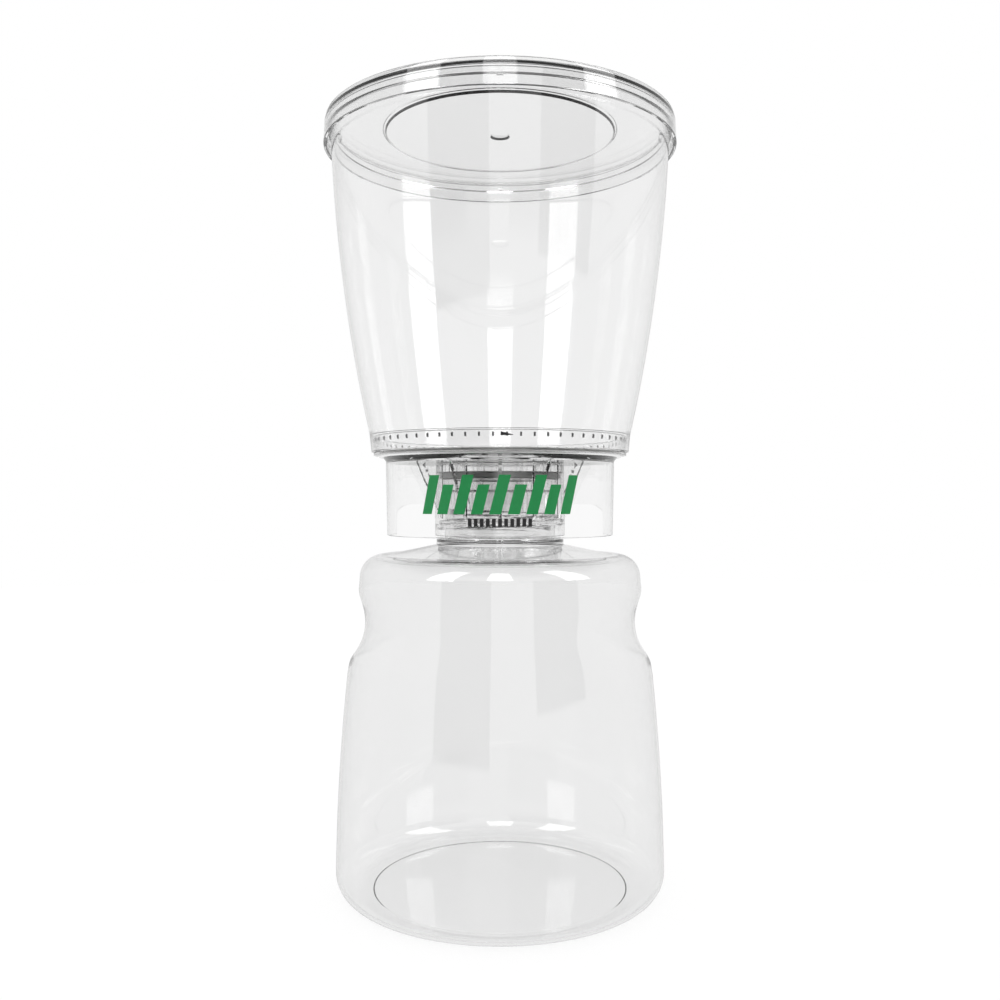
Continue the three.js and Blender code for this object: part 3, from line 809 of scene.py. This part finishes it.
def filter_base():
    base = build("base_moulding", revolve(core_section(), shape=core_shape))
    skirt = skirt_wall()
    turn = 360 / GUSSETS
    rib_turn = 360 / CRUSH_RIBS
    for shape in (
        mesh_shape(skirt),
        merged([gusset(-90 + turn * i) for i in range(GUSSETS)]),
        merged([crush_rib(-90 + rib_turn * (i + 0.5)) for i in range(CRUSH_RIBS)]),
        suction_arm(),
    ):
        combine(base, shape, "UNION")
    start = BOSS_RADIUS - BOSS_WALL - CUT_MARGIN
    end = BARB_END + CUT_MARGIN
    bore = [(0.0, start), (PORT_BORE, start), (PORT_BORE, end), (0.0, end)]
    return combine(base, along_y(bore, PORT, 48), "DIFFERENCE")


def mesh_shape(piece):
    """The vertices (mm) and faces of a piece, which is then removed."""
    shape = ([tuple(v.co / METRE) for v in piece.data.vertices],
             [tuple(p.vertices) for p in piece.data.polygons])
    bpy.data.objects.remove(piece)
    return shape


finished(filter_base(), "funnel_and_base", ["filter_base"], [BASE_PLASTIC])


# ------------------------------------------------------------------ plug, grid and membrane
def side_arm_plug():
    r = PORT_BORE - FIT
    low, high = (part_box("side_arm_plug")[end].y / METRE for end in (0, 1))
    section = [(0.0, low), *arc(r - PLUG_EDGE, low + PLUG_EDGE, PLUG_EDGE, -90, 0, 4),
               *arc(r - PLUG_EDGE, high - PLUG_EDGE, PLUG_EDGE, 0, 90, 4), (0.0, high)]
    return along_y(section, PORT, 32)


def support_grid():
    low, high = (level("support_grid", end) for end in (0, 1))
    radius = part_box("support_grid")[1].x / METRE
    disc = build("grid_disc", revolve(eased([(0.0, low), (radius, low), (radius, high),
                                             (0.0, high)], GRID_EDGE)))
    start, end = GRID_SLOT_INNER, radius - GRID_RIM
    outline = [(start, low - CUT_MARGIN), (end, low - CUT_MARGIN),
               (end, high + CUT_MARGIN), (start, high + CUT_MARGIN)]
    slots = [plate(outline, GRID_SLOT_WIDTH, 360 / GRID_SLOTS * i) for i in range(GRID_SLOTS)]
    return combine(disc, merged(slots), "DIFFERENCE")


def membrane():
    low, high = (level("filter_membrane", end) for end in (0, 1))
    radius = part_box("filter_membrane")[1].x / METRE
    return revolve(eased([(0.0, low), (radius, low), (radius, high), (0.0, high)],
                         MEMBRANE_EDGE))


finished(build("fibre_plug", side_arm_plug()), "funnel_and_base",
         ["side_arm_plug"], [PLUG_FIBRE])
finished(support_grid(), "funnel_and_base", ["support_grid"], [GRID_PLASTIC])
finished(build("membrane_disc", membrane()), "funnel_and_base",
         ["filter_membrane"], [MEMBRANE_FILM])


# ------------------------------------------------------------------ funnel
def funnel_section():
    band_low = RIM_RADIUS - RIM_DRAFT + CRUSH_HEIGHT + FIT
    band_top_inner = RIM_RADIUS + CRUSH_HEIGHT + FIT
    band_top = RIM_TOP + FIT
    low = (band_top_inner + BAND_WALL, band_top)
    high = (FUNNEL_TOP_RADIUS, FUNNEL_RIM - RIM_BEAD)
    bead = FUNNEL_TOP_RADIUS + RIM_BEAD_REACH
    return eased([
        (band_low, FUNNEL_BOTTOM),
        (band_low + BAND_WALL, FUNNEL_BOTTOM),
        *bowed(low, high, FUNNEL_BELLY, 0.0, 60),
        (bead, high[1] + RIM_BEAD_SLOPE),
        (bead, FUNNEL_RIM),
        (MOUTH_RADIUS, FUNNEL_RIM),
        *bowed(low, high, FUNNEL_BELLY, FUNNEL_WALL, 60)[::-1],
        (band_top_inner, band_top),
    ], FINE_EDGE)


finished(build("funnel_body", revolve(funnel_section())), "funnel_and_base",
         ["funnel"], [FUNNEL_PLASTIC])


# ------------------------------------------------------------------ lid
def lid_section():
    panel_under = LID_UNDER - PANEL_DROP
    panel_edge = PANEL_RADIUS - PANEL_SLOPE / 2
    flat_top = LID_UNDER + LID_TOP
    ring_outer = LID_OUTER - LID_DRAFT - STACK_SLOPE
    ring_inner = ring_outer - STACK_WIDTH
    return eased([
        (0.0, panel_under + GATE_DEPTH),
        (GATE_RADIUS - GATE_SLOPE, panel_under + GATE_DEPTH),
        (GATE_RADIUS, panel_under),
        (panel_edge, panel_under),
        (panel_edge + PANEL_SLOPE, LID_UNDER),
        (LID_INNER, LID_UNDER),
        (LID_INNER, LID_BOTTOM),
        (LID_OUTER, LID_BOTTOM),
        (LID_OUTER - LID_DRAFT, flat_top - TOP_CHAMFER),
        (ring_outer, flat_top + STACK_RISE),
        (ring_inner, flat_top + STACK_RISE),
        (ring_inner - STACK_SLOPE, flat_top),
        (panel_edge + PANEL_SLOPE, flat_top),
        (panel_edge, flat_top - PANEL_DROP),
        (0.0, flat_top - PANEL_DROP),
    ], EDGE, 4)


def nub(angle):
    outer = MOUTH_RADIUS - LID_GAP
    return plate(eased([
        (outer - NUB_DEPTH, LID_UNDER - NUB_HEIGHT + NUB_DEPTH),
        (outer - NUB_DEPTH / 2, LID_UNDER - NUB_HEIGHT),
        (outer, LID_UNDER - NUB_HEIGHT + NUB_LEAD_IN),
        (outer, LID_UNDER + FIT),
        (outer - NUB_DEPTH, LID_UNDER + FIT),
    ], FINE_EDGE), NUB_WIDTH, angle)


def lid():
    piece = build("lid_body", revolve(lid_section()))
    return combine(piece, merged([nub(-90 + 360 / NUBS * i) for i in range(NUBS)]), "UNION")


finished(lid(), "cover", ["lid"], [LID_PLASTIC])


# ------------------------------------------------------------------ print on the skirt's front, and a black wedge on the funnel's foot
def skirt_radius(z):
    return SKIRT_RADIUS + SKIRT_DRAFT * (z - SKIRT_BOTTOM) / (PLATE_UNDER - SKIRT_BOTTOM)


def ink_patch(left, right, low, high, slant=0.0, columns=10):
    """A thin closed film on the skirt; left and right are distances round it from the front."""
    vertices = []
    for off in (INK_NEAR, INK_FAR):
        for z in (low, high):
            lean = slant * (z - low)
            for u in spaced(left, right, columns):
                r = skirt_radius(z) + off
                a = (u + lean) / SKIRT_RADIUS - math.pi / 2
                vertices.append((r * math.cos(a), r * math.sin(a), z))
    n = columns + 1
    faces = []
    for i in range(columns):
        faces.append((i, i + n, i + 1 + n, i + 1))
        faces.append((i + 2 * n, i + 1 + 2 * n, i + 1 + 3 * n, i + 3 * n))
        faces.append((i, i + 1, i + 1 + 2 * n, i + 2 * n))
        faces.append((i + n, i + 3 * n, i + 1 + 3 * n, i + 1 + n))
    faces.append((0, 2 * n, 3 * n, n))
    faces.append((n - 1, 2 * n - 1, 4 * n - 1, 3 * n - 1))
    return vertices, faces


def green_bars():
    low = SKIRT_BOTTOM + BAR_LOW
    bars = []
    for i in range(BARS):
        left = BAR_PITCH * (i - (BARS - 1) / 2) + BAR_SHIFT - BAR_WIDTH / 2
        high = low + BAR_HEIGHTS[i % 2]
        bars.append(ink_patch(left, left + BAR_WIDTH, low, high, BAR_SLANT))
    return merged(bars)


def black_dashes():
    low = SKIRT_BOTTOM + DASH_LOW
    dashes = []
    for i in range(DASHES):
        left = DASH_PITCH * (i - (DASHES - 1) / 2) - DASH_WIDTH / 2
        dashes.append(ink_patch(left, left + DASH_WIDTH, low, low + DASH_HEIGHT, columns=3))
    return merged(dashes)


def black_wedge():
    """A small black wedge of thin film on the funnel's foot, at the front."""
    middle = RIM_TOP - MARK_DROP
    right = MARK_LEFT + MARK_LENGTH
    slope = RIM_DRAFT / (RIM_TOP + FIT - FUNNEL_BOTTOM)
    foot = RIM_RADIUS - RIM_DRAFT + CRUSH_HEIGHT + FIT + BAND_WALL
    outline = [(MARK_LEFT, middle - MARK_HEIGHT / 2), (MARK_LEFT, middle + MARK_HEIGHT / 2),
               (right, middle - MARK_HEIGHT / 4), (right, middle - MARK_HEIGHT / 4 - MARK_TIP)]
    vertices = []
    for off in (INK_NEAR, INK_FAR):
        for u, z in outline:
            r = foot + slope * (z - FUNNEL_BOTTOM) + off
            a = u / foot - math.pi / 2
            vertices.append((r * math.cos(a), r * math.sin(a), z))
    sides = [(i, (i + 1) % 4, (i + 1) % 4 + 4, i + 4) for i in range(4)]
    return vertices, [(0, 1, 2, 3), (7, 6, 5, 4), *sides]


finished(build("green_print", green_bars()), "funnel_and_base", [], [GREEN_INK])
finished(build("black_print", black_dashes()), "funnel_and_base", [], [BLACK_INK])
finished(build("black_wedge", black_wedge()), "funnel_and_base", [], [BLACK_INK])


# ------------------------------------------------------------------ studio
def mirrored(tree, path):
    """1 for a ray that a surface has reflected, 0 for one that only passed through."""
    return tree.calc("GREATER_THAN", path["Glossy Depth"], 0.5)


def studio_world():
    """A white backdrop for what is seen straight or through the plastic, and a grey studio with
    dark flags and three tall soft boxes for what the plastic reflects. Diffuse surfaces get a
    plain even light."""
    world = bpy.data.worlds.new("studio")
    bpy.context.scene.world = world
    world.use_nodes = True
    world.cycles.sampling_method = "NONE"      # the backdrop is too even to aim rays at
    tree = Tree(world.node_tree)
    path = tree.add("ShaderNodeLightPath").outputs
    direction = tree.add("ShaderNodeTexCoord").outputs["Generated"]
    axes = tree.add("ShaderNodeSeparateXYZ", {0: direction}).outputs
    height = tree.calc("DEGREES", tree.calc("ARCSINE", axes[2]))
    away = tree.calc("MULTIPLY", axes[1], -1.0)
    azimuth = tree.calc("DEGREES", tree.calc("ARCTAN2", axes[0], away))

    def panel(left, right, low, high, soft):
        """1 inside a window of azimuth and height, 0 outside."""
        share = tree.smooth(azimuth, left - soft, left + soft)
        share = tree.calc("MULTIPLY", share, tree.smooth(azimuth, right - soft, right + soft, 1, 0))
        share = tree.calc("MULTIPLY", share, tree.smooth(height, low - soft, low + soft))
        return tree.calc("MULTIPLY", share, tree.smooth(height, high - soft, high + soft, 1, 0))

    # The studio, as the plastic reflects it.
    behind = tree.smooth(tree.calc("ABSOLUTE", azimuth), *BACK_WALL_FADE)
    walls = tree.mix(behind, WALL_LIGHT, BACK_WALL_LIGHT)
    room = tree.mix(tree.smooth(height, *CEILING_FADE), walls, CEILING_LIGHT)
    for left, right, low in FLAGS:
        room = tree.mix(panel(left, right, low, FLAG_TOP, 0.6), room, FLAG_LIGHT)
    for left, right, low in SOFT_BOXES:
        room = tree.mix(panel(left, right, low, SOFT_BOX_TOP, 0.8), room, SOFT_BOX_LIGHT)

    # What shows through the plastic: white round the horizon, dark overhead.
    through = tree.smooth(height, *BACKDROP_FADE, 1.0, CEILING_LIGHT)
    bent = tree.calc("MAXIMUM", path["Is Glossy Ray"], path["Is Transmission Ray"])
    seen = tree.mix(bent, 1.0, tree.mix(mirrored(tree, path), through, room))
    seen = tree.mix(path["Is Camera Ray"], seen, 1.0)
    lit = tree.mix(tree.calc("GREATER_THAN", path["Diffuse Depth"], 0.5), seen, 1.0)
    background = tree.add("ShaderNodeBackground", {"Color": lit, "Strength": 1.0})
    tree.add("ShaderNodeOutputWorld", {"Surface": background.outputs[0]})


def floor():
    """A pale floor: part of its white is its own, so the unit's shadow on it stays faint."""
    top = -0.05
    slab = build("studio_floor", revolve(eased([
        (0.0, -FLOOR_THICKNESS), (FLOOR_RADIUS, -FLOOR_THICKNESS), (FLOOR_RADIUS, top),
        (0.0, top)], 1.0)))
    material = bpy.data.materials.new("floor_white")
    material.use_nodes = True
    tree = Tree(material.node_tree)
    path = tree.add("ShaderNodeLightPath").outputs
    where = tree.add("ShaderNodeTexCoord").outputs["Object"]
    tone = tree.blend(tree.noise(where, 8.0, 4.0), grey(0.10), grey(0.11))
    seen = tree.calc("MAXIMUM", path["Is Camera Ray"], path["Is Transmission Ray"])
    seen = tree.calc("MAXIMUM", seen, path["Is Glossy Ray"])
    own = tree.calc("MULTIPLY", seen, FLOOR_LIGHT)
    matt = tree.add("ShaderNodeBsdfPrincipled", {
        "Base Color": tone, "Roughness": 0.9, "Specular IOR Level": 0.0,
        "Emission Color": grey(1.0), "Emission Strength": own})
    clear = tree.add("ShaderNodeBsdfTransparent")
    shader = tree.add("ShaderNodeMixShader", {
        0: mirrored(tree, path), 1: matt.outputs[0], 2: clear.outputs[0]})
    tree.add("ShaderNodeOutputMaterial", {"Surface": shader.outputs[0]})
    slab.data.materials.append(material)
    slab.data.shade_smooth()


def camera():
    data = bpy.data.cameras.new("camera")
    data.lens = CAMERA_LENS
    data.clip_start = 0.01
    eye = bpy.data.objects.new("camera", data)
    eye.location = [c * METRE for c in CAMERA_PLACE]
    eye.rotation_euler = (math.radians(90), 0.0, 0.0)
    bpy.context.scene.collection.objects.link(eye)
    bpy.context.scene.camera = eye


studio_world()
floor()
camera()

scene = bpy.context.scene
scene.view_settings.view_transform = "Standard"
scene.cycles.max_bounces = 16
scene.cycles.transmission_bounces = 16
scene.cycles.glossy_bounces = 5
scene.cycles.diffuse_bounces = 2
